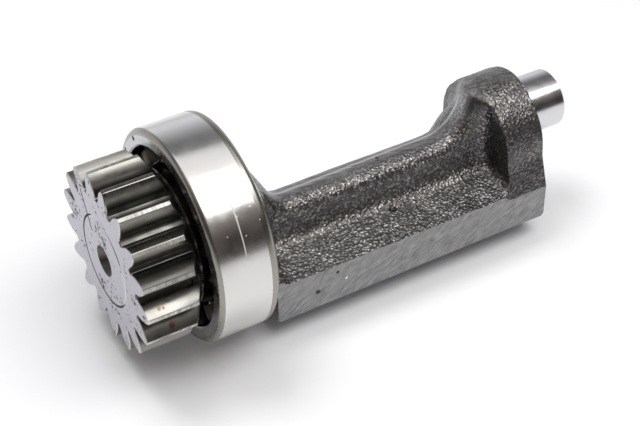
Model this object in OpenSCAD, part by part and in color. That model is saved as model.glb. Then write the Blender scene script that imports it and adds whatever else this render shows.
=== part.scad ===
// Engine balance shaft with its pressed-on drive gear and ball bearing.
// X runs along the shaft from the gear to the rear journal and Z points up, away from the weight.
// The origin is on the shaft's axis, in the middle of the bearing.

/* [Bearing] */
// Bore of the inner ring and diameter of its seat
bearing_bore = 25; // [23:0.5:26]
// Outside diameter of the outer ring
bearing_od = 52; // [51:0.5:54]
// Width of both rings
bearing_w = 15; // [14:0.5:17]
// Corner radius of the rings
ring_corner = 1.5; // [0.6:0.1:1.8]
// Diameter of the balls
ball_d = 7.9; // [7:0.1:8.2]
// Gap between a ball and what it runs on
ball_gap = 0.1; // [0.05:0.01:0.15]
// Angle of the first ball, from +Y towards +Z
ball_phase = 32; // [0:1:40]

/* [Cage] */
// Sheet thickness of the ribbon cage
cage_t = 0.8; // [0.6:0.1:1]
// Radial width of the ribbon
cage_w = 3.6; // [3:0.1:4]
// Diameter of a cage rivet's shank
rivet_d = 1.4; // [1:0.1:1.6]
// Diameter of a cage rivet's head
rivet_head_d = 2.4; // [2:0.1:2.6]
// Height of a cage rivet's head
rivet_head_h = 0.5; // [0.3:0.1:0.8]

/* [Gear] */
// Number of teeth
teeth = 17; // [15:1:19]
// Module of the teeth
tooth_module = 2.25; // [2.1:0.05:2.35]
// Profile shift, in modules
tooth_shift = 0.4; // [0.2:0.05:0.45]
// Tip diameter over the teeth
gear_tip_d = 44.6; // [43:0.1:45]
// Diameter at the bottom of the tooth gaps
gear_root_d = 33.8; // [32:0.1:35]
// Length of the teeth along the shaft
gear_w = 15; // [12:0.5:18]
// Height of the hub land that bears on the inner ring
hub_land = 1; // [0.6:0.1:2]
// Narrowest land that a tooth may have at its tip
least_land = 0.4; // [0.2:0.1:0.9]
// Length of the turned chamfer behind the teeth
tooth_chamfer = 2.5; // [1:0.1:3]
// Angle of one tooth, from +Y towards +Z
gear_phase = 99; // [90:0.5:110]

/* [Shaft] */
// Diameter of the gear's seat
gear_seat_d = 22; // [19:0.5:22.5]
// Diameter of the shoulder behind the bearing
shoulder_d = 31; // [29:0.5:33]
// Length of the shoulder in front of the weight
shoulder_w = 3.6; // [2.5:0.1:5]
// Diameter of the rear journal
journal_d = 15; // [12:0.5:18]
// Length of the rear journal from the cheek's thrust land
journal_l = 12; // [8:0.1:20]
// Diameter of the thrust land on the rear cheek
thrust_d = 20; // [19:0.5:22]
// Height of the thrust land
thrust_h = 0.4; // [0.2:0.1:1]
// Mouth diameter of the front lathe centre
front_centre_d = 7.7; // [5:0.1:9]
// Mouth diameter of the rear lathe centre
rear_centre_d = 6; // [4:0.1:7]
// Edge chamfer at the ends and fits
edge_chamfer = 0.6; // [0.3:0.1:0.9]
// Width of the scribed timing line
mark_w = 0.5; // [0.3:0.1:0.8]

/* [Weight] */
// Length of the weight along the shaft
weight_l = 77.4; // [65:0.2:90]
// Radius of the weight's turned underside
weight_r = 28; // [27.5:0.1:30]
// Width over the two milled flats
flat_w = 34.6; // [33:0.2:36]
// Height of the recess floor where it meets a flat
floor_edge_z = -11.3; // [-13:0.1:-10.5]
// Slope of the near recess floor
floor_slope = 12.5; // [8:0.5:14]
// Slope of the far recess floor, which is pressed deeper at its edge
far_floor_slope = 22; // [15:0.5:23]
// Height of the web's crest over the shaft's axis
crest_z = 0.1; // [-1:0.1:1]
// Half width of the trimmed strip on the crest
crest_half = 1.2; // [0.8:0.1:1.8]
// Radius of the web's shoulders beside the strip
crest_round = 3.8; // [3.2:0.1:4.4]
// Lean of the web's sides from upright
web_lean = 10; // [6:1:12]
// Blend radius in the recesses
recess_r = 3.2; // [2.6:0.1:4]
// Radius of the crest's rise to the front flare
front_rise_r = 4.5; // [3.5:0.5:5.5]
// Radius of the crest's rise to the rear cheek
rear_rise_r = 10.5; // [9:0.5:11]
// Lean of the flare behind the shoulder from upright
flare_lean = 30; // [27:1:33]
// Thickness of the wall in front of the recesses
front_wall = 2.4; // [2:0.1:4]
// Thickness of the rear cheek beside the web
cheek_t = 11; // [9:0.2:14]
// Length of the rear rib that carries the crest up to the cheek
rib_l = 3.7; // [3:0.1:5]
// Radius of the rear cheek's round top
cheek_r = 11.75; // [11.3:0.05:12.5]
// Radius of the rear cheek's sides
cheek_side_r = 14.6; // [14:0.1:15]
// Drop of the rear cheek's sides below the axis
cheek_side_drop = 3.5; // [3:0.1:4]

/* [Hidden] */
$fn = 96;
eps = 0.01;
far = 40;
forged = "#34353a";
machined = "#b9bac2";
polished = "#c9ccd1";
ball_count = 9;
ball_r = ball_d / 2;
ball_step = 360 / ball_count;
// Stations along the shaft
bearing_front = -bearing_w / 2;
bearing_back = bearing_w / 2;
teeth_back = bearing_front - hub_land;
gear_front = teeth_back - gear_w;
weight_front = bearing_back + shoulder_w;
weight_back = weight_front + weight_l;
journal_start = weight_back + thrust_h;
shaft_end = journal_start + journal_l;
// The bearing seat stops just inside the inner ring, so that the gear's hub bears on the ring
seat_front = bearing_front + 0.3;
// Raceways
pitch_r = (bearing_bore + bearing_od) / 4 + 0.25;
groove_r = ball_r + ball_gap;
inner_land_r = pitch_r - 0.33 * ball_d;
outer_land_r = pitch_r + 0.317 * ball_d;
// Gear
base_r = tooth_module * teeth / 2 * cos(20);
hub_r = gear_root_d / 2 - 1;
flank_steps = 6;
// Recesses beside the web: the corner of the floor is where the web's side meets it
floor_edge_rise = 1.2;
web_half = crest_half + crest_round;
web_knee_z = crest_z - crest_round;
block_half = web_half - 0.4;
flare_tip_r = crest_z + 0.9;
floor_run = flat_w / 2 - web_half;
floor_in = (web_knee_z - floor_edge_z - floor_run * tan(floor_slope))
    / (1 / tan(web_lean) - tan(floor_slope));
floor_y = web_half + floor_in;
floor_z = web_knee_z - floor_in / tan(web_lean);
web_root = flat_w / 2 - (floor_edge_rise / tan(floor_slope)) + 1;
// The front rise is nearly tangent to the flare
rise_foot = crest_z + front_rise_r * (1 - sin(flare_lean));
rise_front = weight_front + (shoulder_d / 2 - rise_foot) * tan(flare_lean)
    + front_rise_r * cos(flare_lean) - 0.2;
rise_back = weight_back - cheek_t - rib_l - rear_rise_r;
recess_front = weight_front + front_wall;
recess_back = weight_back - cheek_t;
recess_out = flat_w / 2 + 7;
floor_top = floor_edge_z + floor_edge_rise;
bar_top = floor_edge_z - 1.3;

// A turned solid about X from a half section, given as points [x, radius].
module turned(points)
    rotate([0, 90, 0])
        rotate_extrude()
            polygon([for (p = points) [p[1], p[0]]]);

// A section drawn in Y and Z, carried along X from x0 to x1.
module along_x(x0, x1)
    translate([x0, 0, 0])
        rotate([90, 0, 90])
            linear_extrude(x1 - x0)
                children();

// Conical lathe centre with its pilot hole. The mouth is at x = 0 and the hole runs towards +X.
module lathe_centre(mouth_d) {
    pilot_r = mouth_d * 0.2;
    cone_l = (mouth_d / 2 - pilot_r) / tan(30);
    turned([[-eps, 0], [-eps, mouth_d / 2], [0, mouth_d / 2], [cone_l, pilot_r],
        [cone_l + 3 * pilot_r, pilot_r], [cone_l + 3.6 * pilot_r, 0]]);
}

// Timing line scribed across the gear's face and the shaft's end.
module timing_mark() {
    reach = gear_root_d / 2 - 6.8;
    start = gear_seat_d / 2 - 3.5;
    translate([gear_front, 0, 0])
        rotate([43.6, 0, 0])
            translate([-eps, start, 0])
                rotate([22, 0, 0])
                    translate([0, 0, -mark_w / 2])
                        cube([0.35, reach, mark_w]);
}

// Outline of the rear cheek in Y and Z: a round top on wider sides that run down to the flats.
module cheek_outline() {
    shoulder = sqrt(pow(cheek_side_r, 2) - 1);
    circle(cheek_r);
    translate([0, -cheek_side_drop])
        circle(cheek_side_r);
    polygon([[-shoulder, -cheek_side_drop - 1], [shoulder, -cheek_side_drop - 1],
        [flat_w / 2, bar_top], [flat_w / 2, bar_top - 1],
        [-flat_w / 2, bar_top - 1], [-flat_w / 2, bar_top]]);
}

// The die's convex side that presses the recess on the +Y side of the web.
module recess(slope) {
    web_n = [cos(web_lean), sin(web_lean)];
    floor_n = [sin(slope), cos(slope)];
    blend = recess_r / (1 + web_n * floor_n);
    in_y = web_half - 0.05 + recess_r;
    knee_z = web_knee_z + recess_r * tan(web_lean / 2);
    low = [floor_y, floor_z] + blend * (web_n + floor_n);
    out_z = floor_z - (recess_out - floor_y) * tan(slope) + recess_r / cos(slope);
    section = [[in_y, far], [in_y, knee_z], low, [recess_out, out_z], [recess_out, far]];
    hull()
        for (p = section) {
            translate([recess_front + recess_r - (p[0] - in_y) * 0.17, p[0], p[1]])
                sphere(recess_r, $fn = 32);
            translate([recess_back - recess_r + (p[0] - in_y) * 0.1, p[0], p[1]])
                sphere(recess_r, $fn = 32);
        }
}

// Section of the space over the crest: X is the height over the crest and Y is across it.
module over_crest()
    difference() {
        translate([-crest_round, -web_half])
            square([far, 2 * web_half]);
        for (side = [-1, 1])
            translate([-crest_round, side * crest_half])
                circle(crest_round);
        translate([-2 * crest_round, -crest_half])
            square([2 * crest_round, 2 * crest_half]);
    }

// The space where the crest rises towards -X, about the middle of its arc.
module rise(r) {
    rotate([90, 0, 0])
        rotate_extrude()
            intersection() {
                translate([0, -far])
                    square([r + crest_round, 2 * far]);
                translate([r, 0])
                    mirror([1, 0])
                        over_crest();
            }
    translate([-r, 0, 0])
        linear_extrude(far)
            over_crest();
}

// Round top of the web in Y and Z.
module web_top() {
    for (side = [-1, 1])
        translate([side * crest_half, web_knee_z])
            circle(crest_round);
    translate([-crest_half, web_knee_z])
        square([2 * crest_half, crest_round]);
}

// The web between its flare and its cheek, with a concave rise of the crest at each end.
module web() {
    along_x(weight_front, weight_back)
        web_top();
    along_x(weight_front, weight_back)
        translate([-web_root, bar_top - 1])
            square([2 * web_root, web_knee_z - bar_top + 1]);
    difference() {
        along_x(weight_front, rise_front)
            translate([-block_half, web_knee_z])
                square([2 * block_half, rise_foot - web_knee_z]);
        translate([rise_front, 0, crest_z + front_rise_r])
            rise(front_rise_r);
    }
    difference() {
        along_x(rise_back, recess_back + 1)
            cheek_outline();
        translate([rise_back, 0, crest_z + rear_rise_r])
            mirror([1, 0, 0])
                rise(rear_rise_r);
    }
}

// Weight, web, front flare and rear cheek, as they leave the dies and the milling cutter.
module forging()
    difference() {
        union() {
            intersection() {
                turned([[weight_front, 0], [weight_front, weight_r - edge_chamfer],
                    [weight_front + edge_chamfer, weight_r], [weight_back - edge_chamfer, weight_r],
                    [weight_back, weight_r - edge_chamfer], [weight_back, 0]]);
                translate([weight_front - 1, -flat_w / 2, -weight_r - 1])
                    cube([weight_l + 2, flat_w, weight_r + 1 + bar_top]);
            }
            rotate([90, 0, 0])
                linear_extrude(flat_w, center = true)
                    polygon([[weight_front, bar_top - 1], [weight_front, floor_top],
                        [recess_back - 4, floor_top], [recess_back + 3, bar_top - 1]]);
            web();
            turned([[weight_front, 0], [weight_front, shoulder_d / 2],
                [weight_front + (shoulder_d / 2 - flare_tip_r) * tan(flare_lean), flare_tip_r],
                [weight_front + (shoulder_d / 2 - flare_tip_r) * tan(flare_lean), 0]]);
            along_x(recess_back, weight_back)
                cheek_outline();
        }
        recess(far_floor_slope);
        mirror([0, 1, 0])
            recess(floor_slope);
    }

module balance_shaft()
    color(forged)
        difference() {
            union() {
                forging();
                turned([[gear_front, 0], [gear_front, gear_seat_d / 2 - edge_chamfer / 2],
                    [gear_front + edge_chamfer / 2, gear_seat_d / 2], [seat_front, gear_seat_d / 2],
                    [seat_front, bearing_bore / 2 - edge_chamfer / 2],
                    [seat_front + edge_chamfer / 2, bearing_bore / 2], [bearing_back, bearing_bore / 2],
                    [bearing_back, shoulder_d / 2 - edge_chamfer / 2],
                    [bearing_back + edge_chamfer / 2, shoulder_d / 2],
                    [weight_front, shoulder_d / 2], [weight_front + 1, shoulder_d / 2 - 2],
                    [weight_front + 1, 0]]);
                turned([[weight_back - 1, 0], [weight_back - 1, thrust_d / 2],
                    [journal_start, thrust_d / 2], [journal_start, journal_d / 2],
                    [shaft_end - edge_chamfer, journal_d / 2],
                    [shaft_end, journal_d / 2 - edge_chamfer], [shaft_end, 0]]);
            }
            translate([gear_front, 0, 0])
                lathe_centre(front_centre_d);
            translate([shaft_end, 0, 0])
                mirror([1, 0, 0])
                    lathe_centre(rear_centre_d);
            timing_mark();
        }

// Involute angle in degrees at a pressure angle.
function inv(a) = tan(a) * 180 / PI - a;

// Half the angle that a tooth covers at radius r, never less than the narrowest land.
function half_angle(r) = max(asin(least_land / 2 / r),
    (90 + 2 * tooth_shift * tan(20) * 180 / PI) / teeth + inv(20) - inv(acos(min(1, base_r / r))));

// One tooth side from root to tip as [radius, half angle], with a small blend at the root.
function tooth_side() = concat(
    [[gear_root_d / 2, half_angle(base_r) + 1.6], [gear_root_d / 2 + 0.5, half_angle(base_r) + 0.35]],
    [for (i = [0 : flank_steps])
        let (r = base_r + (gear_tip_d / 2 - base_r) * i / flank_steps)
        [r, half_angle(r)]]);

module gear_outline() {
    side = tooth_side();
    last = len(side) - 1;
    polygon([for (k = [0 : teeth - 1], i = [0 : 2 * last + 1])
        let (p = side[i <= last ? i : 2 * last + 1 - i],
            a = gear_phase + k * 360 / teeth + (i <= last ? -p[1] : p[1]))
        p[0] * [cos(a), sin(a)]]);
}

module drive_gear()
    color(machined)
        difference() {
            union() {
                intersection() {
                    along_x(gear_front, teeth_back)
                        gear_outline();
                    turned([[gear_front, 0], [gear_front, gear_tip_d / 2 - 0.3],
                        [gear_front + 0.3, gear_tip_d / 2 + eps],
                        [teeth_back - tooth_chamfer, gear_tip_d / 2 + eps],
                        [teeth_back, gear_root_d / 2 + 1.6], [teeth_back, 0]]);
                }
                turned([[teeth_back - 1, 0], [teeth_back - 1, hub_r], [bearing_front, hub_r],
                    [bearing_front, 0]]);
            }
            turned([[gear_front - 1, 0], [gear_front - 1, gear_seat_d / 2 + edge_chamfer / 2],
                [gear_front, gear_seat_d / 2 + edge_chamfer / 2],
                [gear_front + edge_chamfer / 2, gear_seat_d / 2],
                [bearing_front + 1, gear_seat_d / 2], [bearing_front + 1, 0]]);
            timing_mark();
        }

// What is cut from a ring's corner to round it, with the round's centre at the origin.
module corner_cut(r)
    difference() {
        square(r + 1);
        circle(r);
    }

// A bearing ring from radius r0 to r1, with round corners on its fitted side and a ball groove.
module ring(r0, r1, fitted_r, sign)
    rotate([0, 90, 0])
        rotate_extrude()
            difference() {
                translate([r0, -bearing_w / 2])
                    square([r1 - r0, bearing_w]);
                for (side = [0, 1])
                    mirror([0, side])
                        translate([fitted_r - sign * ring_corner, bearing_w / 2 - ring_corner])
                            mirror([sign > 0 ? 0 : 1, 0])
                                corner_cut(ring_corner);
                translate([pitch_r, 0])
                    circle(groove_r);
            }

module bearing_outer_ring()
    color(polished)
        ring(outer_land_r, bearing_od / 2, bearing_od / 2, 1);

module bearing_inner_ring()
    color(polished)
        ring(bearing_bore / 2, inner_land_r, bearing_bore / 2, -1);

// Puts its child on the pitch circle at the given angle.
module on_pitch(angle)
    rotate([angle, 0, 0])
        translate([0, pitch_r, 0])
            children();

module ball(i)
    color(polished)
        on_pitch(ball_phase + (i - 1) * ball_step)
            sphere(ball_r);

// Half of the ribbon cage on the +X side: flat lands between pockets bent round the balls.
module cage_half()
    intersection() {
        turned([[0, pitch_r - cage_w / 2], [0, pitch_r + cage_w / 2],
            [bearing_w / 2 - 1, pitch_r + cage_w / 2], [bearing_w / 2 - 1, pitch_r - cage_w / 2]]);
        difference() {
            union() {
                turned([[-1, 0], [-1, bearing_od / 2], [cage_t, bearing_od / 2], [cage_t, 0]]);
                for (i = [0 : ball_count - 1])
                    on_pitch(ball_phase + i * ball_step)
                        rotate([90, 0, 0])
                            cylinder(h = 2 * cage_w, r = groove_r + cage_t, center = true);
            }
            for (i = [0 : ball_count - 1]) {
                on_pitch(ball_phase + i * ball_step)
                    rotate([90, 0, 0])
                        cylinder(h = 3 * cage_w, r = groove_r, center = true);
                on_pitch(ball_phase + (i + 0.5) * ball_step)
                    rotate([0, 90, 0])
                        cylinder(h = 4 * cage_t, d = rivet_d, center = true);
            }
        }
    }

module cage_rear()
    color("#6f6a62")
        cage_half();

module cage_front()
    color("#6f6a62")
        mirror([1, 0, 0])
            cage_half();

module cage_rivets()
    color("#7d776d")
        for (i = [0 : ball_count - 1])
            on_pitch(ball_phase + (i + 0.5) * ball_step)
                rotate([0, 90, 0]) {
                    cylinder(h = 2 * cage_t, d = rivet_d, center = true);
                    for (side = [0, 1])
                        mirror([0, 0, side])
                            translate([0, 0, cage_t])
                                cylinder(h = rivet_head_h, d1 = rivet_head_d, d2 = rivet_head_d * 0.7);
                }

balance_shaft();
drive_gear();
bearing_outer_ring();
bearing_inner_ring();
cage_front();
cage_rear();
cage_rivets();
for (i = [1 : ball_count])
    ball(i);
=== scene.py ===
"""Dresses the balance shaft: forged skin, milled flats, worn gear teeth and polished bearing rings.

Sizes are millimetres in the part's own frame and become metres where a mesh or a pattern is made.
X runs from the gear to the rear journal, Z points away from the weight, and the near side is -Y.
"""
import math

import bmesh
import bpy
import numpy as np
from mathutils import Matrix, Vector, noise


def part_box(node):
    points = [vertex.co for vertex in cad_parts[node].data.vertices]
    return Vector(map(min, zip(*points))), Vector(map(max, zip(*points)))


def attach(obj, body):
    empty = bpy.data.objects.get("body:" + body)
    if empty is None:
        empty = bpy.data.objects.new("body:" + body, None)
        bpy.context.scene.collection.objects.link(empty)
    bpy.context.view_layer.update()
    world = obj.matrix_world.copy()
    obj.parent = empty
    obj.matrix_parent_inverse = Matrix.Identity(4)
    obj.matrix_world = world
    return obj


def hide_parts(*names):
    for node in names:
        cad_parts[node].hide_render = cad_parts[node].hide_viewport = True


MM = 0.001

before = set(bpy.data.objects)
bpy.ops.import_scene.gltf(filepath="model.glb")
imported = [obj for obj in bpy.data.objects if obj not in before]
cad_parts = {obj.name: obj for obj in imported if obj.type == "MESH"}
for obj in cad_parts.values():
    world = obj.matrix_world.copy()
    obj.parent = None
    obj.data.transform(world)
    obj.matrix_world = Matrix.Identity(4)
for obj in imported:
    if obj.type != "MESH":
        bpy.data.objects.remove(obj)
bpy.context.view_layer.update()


def low_high(name, axis):
    """Where a CAD node starts and ends along one axis, in millimetres."""
    low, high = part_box(name)
    return low[axis] / MM, high[axis] / MM


# Sizes that the CAD nodes give
SHAFT_FRONT, SHAFT_END = low_high("balance_shaft", 0)
FLAT = low_high("balance_shaft", 1)[1]
WEIGHT_R = -low_high("balance_shaft", 2)[0]
RING_FRONT, RING_BACK = low_high("bearing_outer_ring", 0)
GEAR_FRONT, GEAR_BACK = low_high("drive_gear", 0)

# Sizes of the shaft
GEAR_SEAT_R = 11.0
BEARING_SEAT_R = 12.5
SHOULDER_R = 15.5
JOURNAL_R = 7.5
THRUST_R = 10.0
FRONT_CENTRE_R = 3.85
REAR_CENTRE_R = 3.0
PILOT_SHARE = 0.4
WEIGHT_FRONT = 11.1
WEIGHT_BACK = 88.5
THRUST_BACK = 88.9
EDGE = 0.6
FLARE_LEAN = math.radians(30)
CREST_Z = 0.1
CREST_HALF = 1.2
WEB_HALF = 5.0
FRONT_RISE = 4.5
FRONT_RISE_X = 22.4
REAR_RISE = 10.5
REAR_RISE_X = 63.3
CHEEK_FRONT = 77.5

# Marks on the shaft: the shear's ridge along the crest, a blow-hole and the scribed timing line
SHEAR_Y = 0.3
SHEAR_SLANT = 0.02
BLOW_HOLE = (48.5, -8.2, -9.3)
TIMING_START = Vector((5.44, 5.18))
TIMING_STOP = Vector((9.62, 14.38))
TIMING_WIDTH = 0.5
TIMING_DEPTH = 0.35

# Sizes of the gear
TEETH = 17
TOOTH_MODULE = 2.25
TOOTH_SHIFT = 0.4
TIP_R = 22.3
ROOT_R = 16.9
HUB_R = 15.9
HUB_EDGE = 0.2
TEETH_BACK = -8.5
TOOTH_CHAMFER = 2.5
CHAMFER_R = ROOT_R + 1.6
TIP_CORNER = 0.13
WORN_EDGE = 0.28
GEAR_PHASE = math.radians(99)
PRESSURE = math.radians(20)
BASE_R = TOOTH_MODULE * TEETH / 2 * math.cos(PRESSURE)

# Sizes of the bearing, and its punch dots as (angle in degrees, radius)
RING_R = 26.0
RING_CORNER = 1.5
RING_EDGE = 0.35
PITCH_R = 19.5
GROOVE_R = 4.05
INNER_LAND_R = 16.893
OUTER_LAND_R = 22.004
PUNCH_CIRCLE_R = 23.9
PUNCH_DEPTH = 0.4
PUNCH_DOTS = ((50.9, 0.6), (30.2, 0.45))

# Steps round a turned piece and round a bearing ring, and along a ring's corner and its groove
TURNED_STEPS = 128
RING_STEPS = 256
CORNER_STEPS = 10
GROOVE_STEPS = 24


# Meshes

def to_object(name, bm, materials):
    """Turn a bmesh into an object at the origin that carries these materials."""
    mesh = bpy.data.meshes.new(name)
    bm.to_mesh(mesh)
    bm.free()
    for material in materials:
        mesh.materials.append(material)
    obj = bpy.data.objects.new(name, mesh)
    bpy.context.scene.collection.objects.link(obj)
    return obj


def bake(obj):
    """Replace an object's mesh by what its modifiers make of it."""
    graph = bpy.context.evaluated_depsgraph_get()
    mesh = bpy.data.meshes.new_from_object(obj.evaluated_get(graph))
    obj.modifiers.clear()
    obj.data = mesh


def combine(obj, tool, operation):
    """Cut, join or trim an object with another, which is then removed."""
    cut = obj.modifiers.new("combine", "BOOLEAN")
    cut.operation = operation
    cut.object = tool
    cut.solver = "MANIFOLD"
    bake(obj)
    bpy.data.objects.remove(tool)


def shade(obj, limit, soft=-1):
    """Smooth shading with hard edges at turns sharper than the limit, but none within a soft finish."""
    bm = bmesh.new()
    bm.from_mesh(obj.data)
    for face in bm.faces:
        face.smooth = True
    for edge in bm.edges:
        finishes = {face.material_index for face in edge.link_faces}
        same = len(finishes) == 1
        edge.smooth = same and (soft in finishes or edge.calc_face_angle(0) < math.radians(limit))
    bm.to_mesh(obj.data)
    bm.free()


def arc(x, r, radius, start, end, steps):
    """Points of a half section along an arc about (x, r), with angles in degrees from +X towards +R."""
    turns = [math.radians(start + (end - start) * i / steps) for i in range(steps + 1)]
    return [(x + radius * math.cos(t), r + radius * math.sin(t)) for t in turns]


def closed_loop(bm, points):
    """A closed loop of edges through points in millimetres."""
    verts = [bm.verts.new(Vector(p) * MM) for p in points]
    return [bm.edges.new(pair) for pair in zip(verts, verts[1:] + verts[:1])]


def spin_section(bm, profile, steps, ring=False):
    """Spin a half section of (x, radius) points about the shaft's axis. A ring's section is closed."""
    verts = [bm.verts.new((x * MM, r * MM, 0)) for x, r in profile]
    pairs = list(zip(verts, verts[1:]))
    if ring:
        pairs.append((verts[-1], verts[0]))
    edges = [bm.edges.new(pair) for pair in pairs]
    bmesh.ops.spin(bm, geom=verts + edges, cent=(0, 0, 0), axis=(1, 0, 0), angle=math.tau,
                   steps=steps, use_merge=True)


def spun(profile, steps, ring=False):
    """A mesh of its own from a half section that is spun."""
    bm = bmesh.new()
    spin_section(bm, profile, steps, ring)
    bmesh.ops.remove_doubles(bm, verts=bm.verts, dist=1e-7)
    bmesh.ops.recalc_face_normals(bm, faces=bm.faces)
    return bm


def set_finish(bm, choose):
    """Give each face the finish that its middle (x, radius) in millimetres asks for."""
    for face in bm.faces:
        middle = face.calc_center_median() / MM
        face.material_index = choose(middle.x, math.hypot(middle.y, middle.z))


def between(value, low, high):
    """How far a value has come from low to high, held from 0 to 1."""
    return max(0.0, min(1.0, (value - low) / (high - low)))


# Materials

# Inputs of a Mix node: its factor, its two numbers and its two colours
FACTOR = 0
NUMBER_A, NUMBER_B = 2, 3
COLOUR_A, COLOUR_B = 6, 7


def hex_colour(code):
    """Linear RGBA from an sRGB hex value."""
    parts = [int(code[i:i + 2], 16) / 255 for i in (1, 3, 5)]
    return [p / 12.92 if p <= 0.04045 else ((p + 0.055) / 1.055) ** 2.4 for p in parts] + [1.0]


def feed(tree, node, inputs):
    """Give each input of a node a value or a link. A node stands for the first of its outputs in use."""
    for key, value in inputs.items():
        if isinstance(value, bpy.types.Node):
            value = next(out for out in value.outputs if out.enabled)
        if isinstance(value, bpy.types.NodeSocket):
            tree.links.new(value, node.inputs[key])
        else:
            node.inputs[key].default_value = value


def add(tree, kind, inputs=None, **settings):
    """Add a node with its settings, and feed its inputs."""
    made = tree.nodes.new("ShaderNode" + kind)
    for key, value in settings.items():
        setattr(made, key, value)
    feed(tree, made, inputs or {})
    return made


def surface(name, metallic=1.0):
    """Start a material: its node tree, its shader and the object's own coordinates."""
    material = bpy.data.materials.new(name)
    material.use_nodes = True
    tree = material.node_tree
    shader = tree.nodes["Principled BSDF"]
    shader.inputs["Metallic"].default_value = metallic
    place = add(tree, "TexCoord").outputs["Object"]
    return material, tree, shader, place


def spots(tree, place, marks):
    """A mask of small marks with ragged rims, given as (x, y, z, radius) in millimetres."""
    # A noise of about 0.5 mm moves the rims by up to this much, and by half of it on the whole
    stray = 0.4
    ragged = add(tree, "TexNoise", {"Vector": place, "Scale": 2200, "Detail": 1})
    moved = add(tree, "VectorMath", {0: ragged.outputs["Color"], 1: [stray * MM] * 3, 2: place},
                operation="MULTIPLY_ADD")
    mask = 0.0
    for x, y, z, size in marks:
        centre = [(c + stray / 2) * MM for c in (x, y, z)]
        gap = add(tree, "VectorMath", {0: moved, 1: centre}, operation="DISTANCE")
        spot = add(tree, "MapRange", {"Value": gap, "From Min": size * MM, "From Max": size * MM * 0.5})
        mask = add(tree, "Math", {0: mask, 1: spot}, operation="MAXIMUM")
    return mask


def pebbles(tree, place):
    """The domes of a pebbled skin, and how far their tops are worn."""
    # Domes of about 0.7 mm that run into each other in swirls of about 1 mm, worn in patches of about 2 mm
    swirl = add(tree, "TexNoise", {"Vector": place, "Scale": 900, "Detail": 2})
    moved = add(tree, "VectorMath", {0: swirl.outputs["Color"], 1: [0.8 * MM] * 3, 2: place},
                operation="MULTIPLY_ADD")
    pebble = add(tree, "TexVoronoi", {"Vector": moved, "Scale": 1450, "Smoothness": 0.4},
                 feature="SMOOTH_F1")
    dome = add(tree, "MapRange", {"Value": pebble, "From Min": 0.05, "From Max": 0.85, "To Min": 1,
                                  "To Max": 0})
    patch = add(tree, "TexNoise", {"Vector": place, "Scale": 520, "Detail": 3})
    high = add(tree, "Math", {0: dome, 1: patch}, operation="ADD")
    worn = add(tree, "MapRange", {"Value": high, "From Min": 0.9, "From Max": 1.5})
    return dome, worn


def trimmed_strip(tree, place):
    """The colour of bare steel where the flash was trimmed off: streaks, a painted highlight along the shear
    line, a painted reflection on the flare, and painted shade on the cheek.
    """
    spot = add(tree, "SeparateXYZ", {0: place})
    # Streaks 0.4 mm wide and some 5 mm long that slant across the strip
    slant = add(tree, "Mapping", {"Vector": place, "Rotation": (0, 0, math.radians(14))})
    drawn = add(tree, "Mapping", {"Vector": slant, "Scale": (220, 2500, 2500)})
    streak = add(tree, "TexNoise", {"Vector": drawn, "Scale": 1, "Detail": 4, "Roughness": 0.7})
    fibre = add(tree, "MapRange", {"Value": streak, "From Min": 0.32, "From Max": 0.68})
    bare = add(tree, "Mix", {FACTOR: fibre, COLOUR_A: hex_colour("#4f4e4e"),
                             COLOUR_B: hex_colour("#cac9c9")}, data_type="RGBA")
    # The shear's ridge catches the light as a broken line about 0.6 mm wide: a painted highlight, which
    # fades on the way up the cheek
    run = add(tree, "Math", {0: spot.outputs["X"], 1: -SHEAR_SLANT, 2: spot.outputs["Y"]},
              operation="MULTIPLY_ADD")
    off = add(tree, "Math", {0: run, 1: SHEAR_Y * MM}, operation="SUBTRACT")
    wide = add(tree, "Math", {0: off}, operation="ABSOLUTE")
    line = add(tree, "MapRange", {"Value": wide, "From Min": 0.12 * MM, "From Max": 0.5 * MM, "To Min": 1,
                                  "To Max": 0})
    broken = add(tree, "MapRange", {"Value": streak, "From Min": 0.3, "From Max": 0.6, "To Min": 0.6,
                                    "To Max": 1})
    broken_highlight = add(tree, "Math", {0: line, 1: broken}, operation="MULTIPLY")
    lower = add(tree, "MapRange", {"Value": spot.outputs["Z"], "From Min": 11 * MM, "From Max": 4 * MM})
    shear_highlight = add(tree, "Math", {0: broken_highlight, 1: lower}, operation="MULTIPLY")
    with_shear_highlight = add(tree, "Mix", {FACTOR: shear_highlight, COLOUR_A: bare, COLOUR_B: hex_colour("#e6e6e6")},
                data_type="RGBA")
    # The strip turns pale where the front flare begins: a painted reflection
    flare = add(tree, "MapRange", {"Value": spot.outputs["X"], "From Min": 17 * MM, "From Max": 23 * MM,
                                   "To Min": 0.9, "To Max": 0})
    pale = add(tree, "Mix", {FACTOR: flare, COLOUR_A: with_shear_highlight, COLOUR_B: hex_colour("#b6b5bc")},
               data_type="RGBA")
    # Painted shade darkens the lower part of the cheek's rim
    rim = add(tree, "MapRange", {"Value": spot.outputs["X"], "From Min": (CHEEK_FRONT - 1) * MM,
                                 "From Max": (CHEEK_FRONT + 1) * MM})
    low = add(tree, "MapRange", {"Value": spot.outputs["Z"], "From Min": 13 * MM, "From Max": 7 * MM,
                                 "To Max": 0.85})
    oil_and_shade = add(tree, "Math", {0: rim, 1: low}, operation="MULTIPLY")
    # Painted shade also lies on the near half of the strip where that climbs the cheek
    climb = add(tree, "MapRange", {"Value": spot.outputs["Z"], "From Min": 3 * MM, "From Max": 8 * MM,
                                   "To Max": 0.8})
    half = add(tree, "MapRange", {"Value": spot.outputs["Y"], "From Min": -1 * MM, "From Max": -3 * MM})
    film_and_shade = add(tree, "Math", {0: climb, 1: half}, operation="MULTIPLY")
    both = add(tree, "Math", {0: oil_and_shade, 1: film_and_shade}, operation="MAXIMUM")
    shaded_strip = add(tree, "Mix", {FACTOR: both, COLOUR_A: pale, COLOUR_B: hex_colour("#3a3938")},
                data_type="RGBA")
    return shaded_strip


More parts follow.
